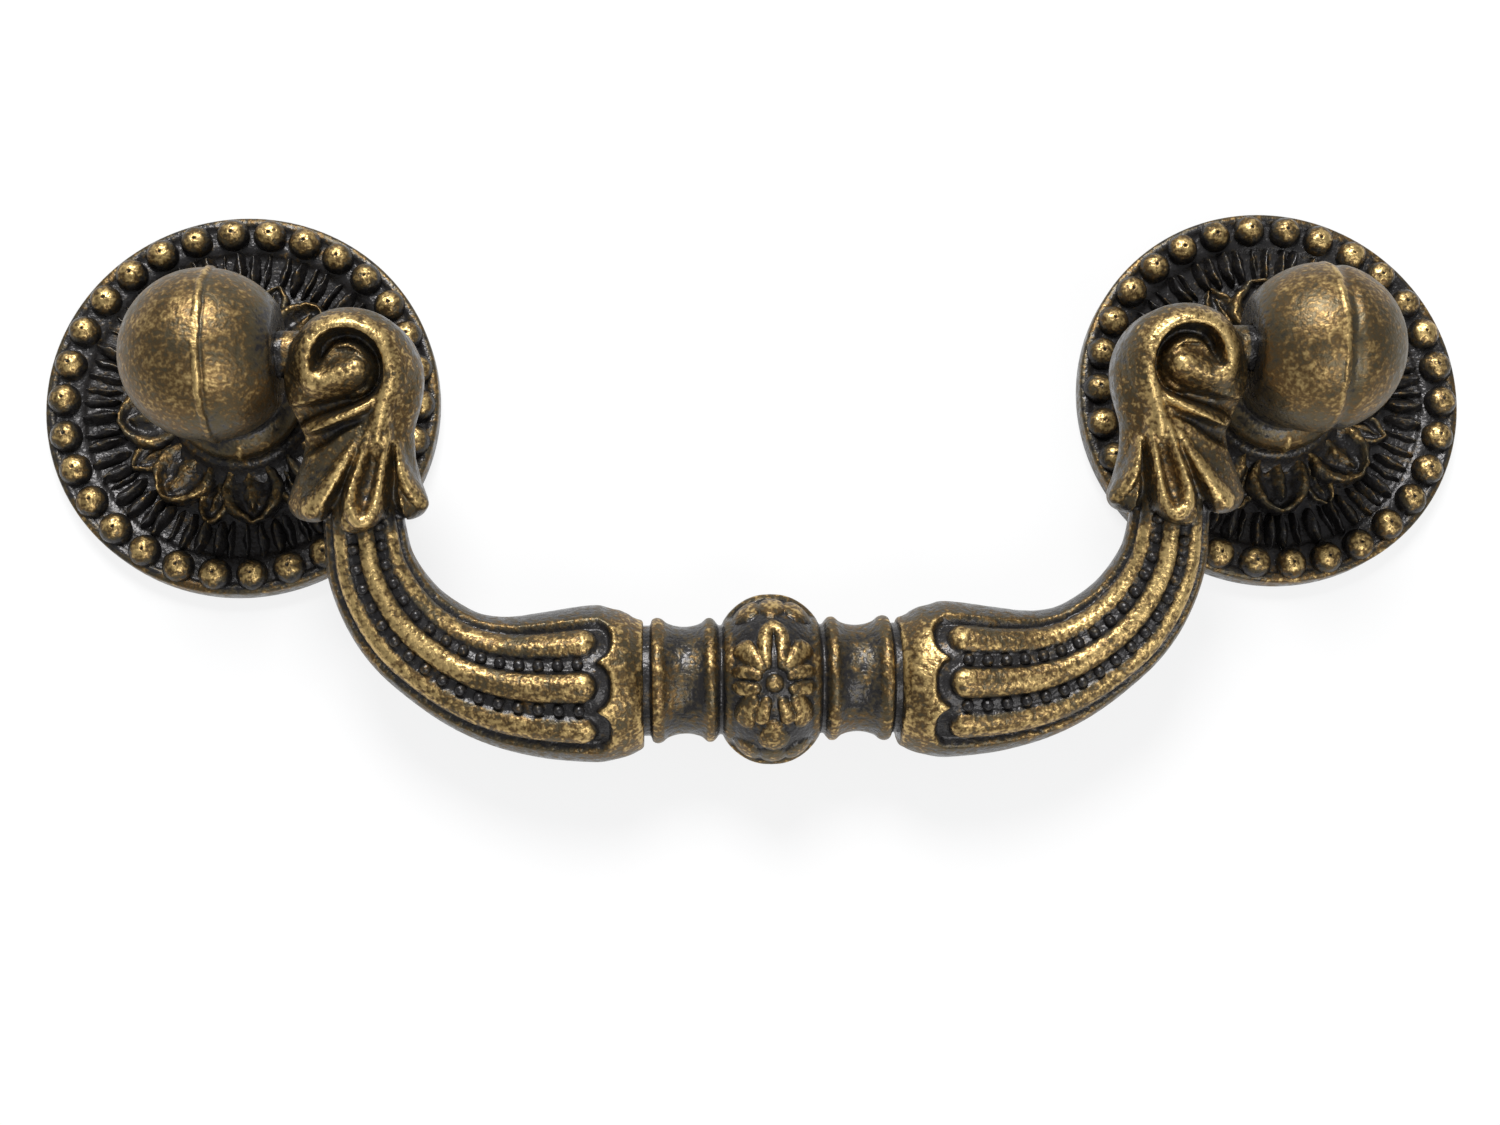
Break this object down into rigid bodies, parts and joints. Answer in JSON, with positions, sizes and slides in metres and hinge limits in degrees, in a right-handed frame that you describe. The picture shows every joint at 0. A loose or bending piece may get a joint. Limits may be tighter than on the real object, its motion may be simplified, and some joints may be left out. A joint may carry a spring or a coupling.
{
  "type": "cabinet handle",
  "caption": "Antique brass drop handle: a cast bail with scrolls, leaves, reeded horns and a flowered knot swings between ball posts on beaded round rosettes.",
  "frame": {"origin": "midway between the two screw holes, on the mounting plane at the back of the rosettes", "axes": "+X along the screw spacing, +Z out of the drawer front, +Y up the drawer front, with the bail hanging towards -Y"},
  "size_m": [0.132, 0.0527, 0.0249],
  "materials": {
    "rosette_brass": "antique brass, near-black patina in the recesses and worn gold on the beads",
    "post_brass": "antique brass, mottled brown patina rubbed gold on top",
    "bail_brass": "antique brass, dark patina in the grooves and worn gold on the ridges"
  },
  "bodies": {
    "posts_and_rosettes": {"left_rosette": "rosette_brass", "right_rosette": "rosette_brass", "left_ball_post": "post_brass", "right_ball_post": "post_brass"},
    "bail": {"bail": "bail_brass"}
  },
  "joints": [
    {"name": "bail_swing", "type": "hinge", "parent": "posts_and_rosettes", "child": "bail", "pos_m": [0, 0, 0.0175], "axis": [-1, 0, 0], "range_deg": [0, 210]}
  ]
}
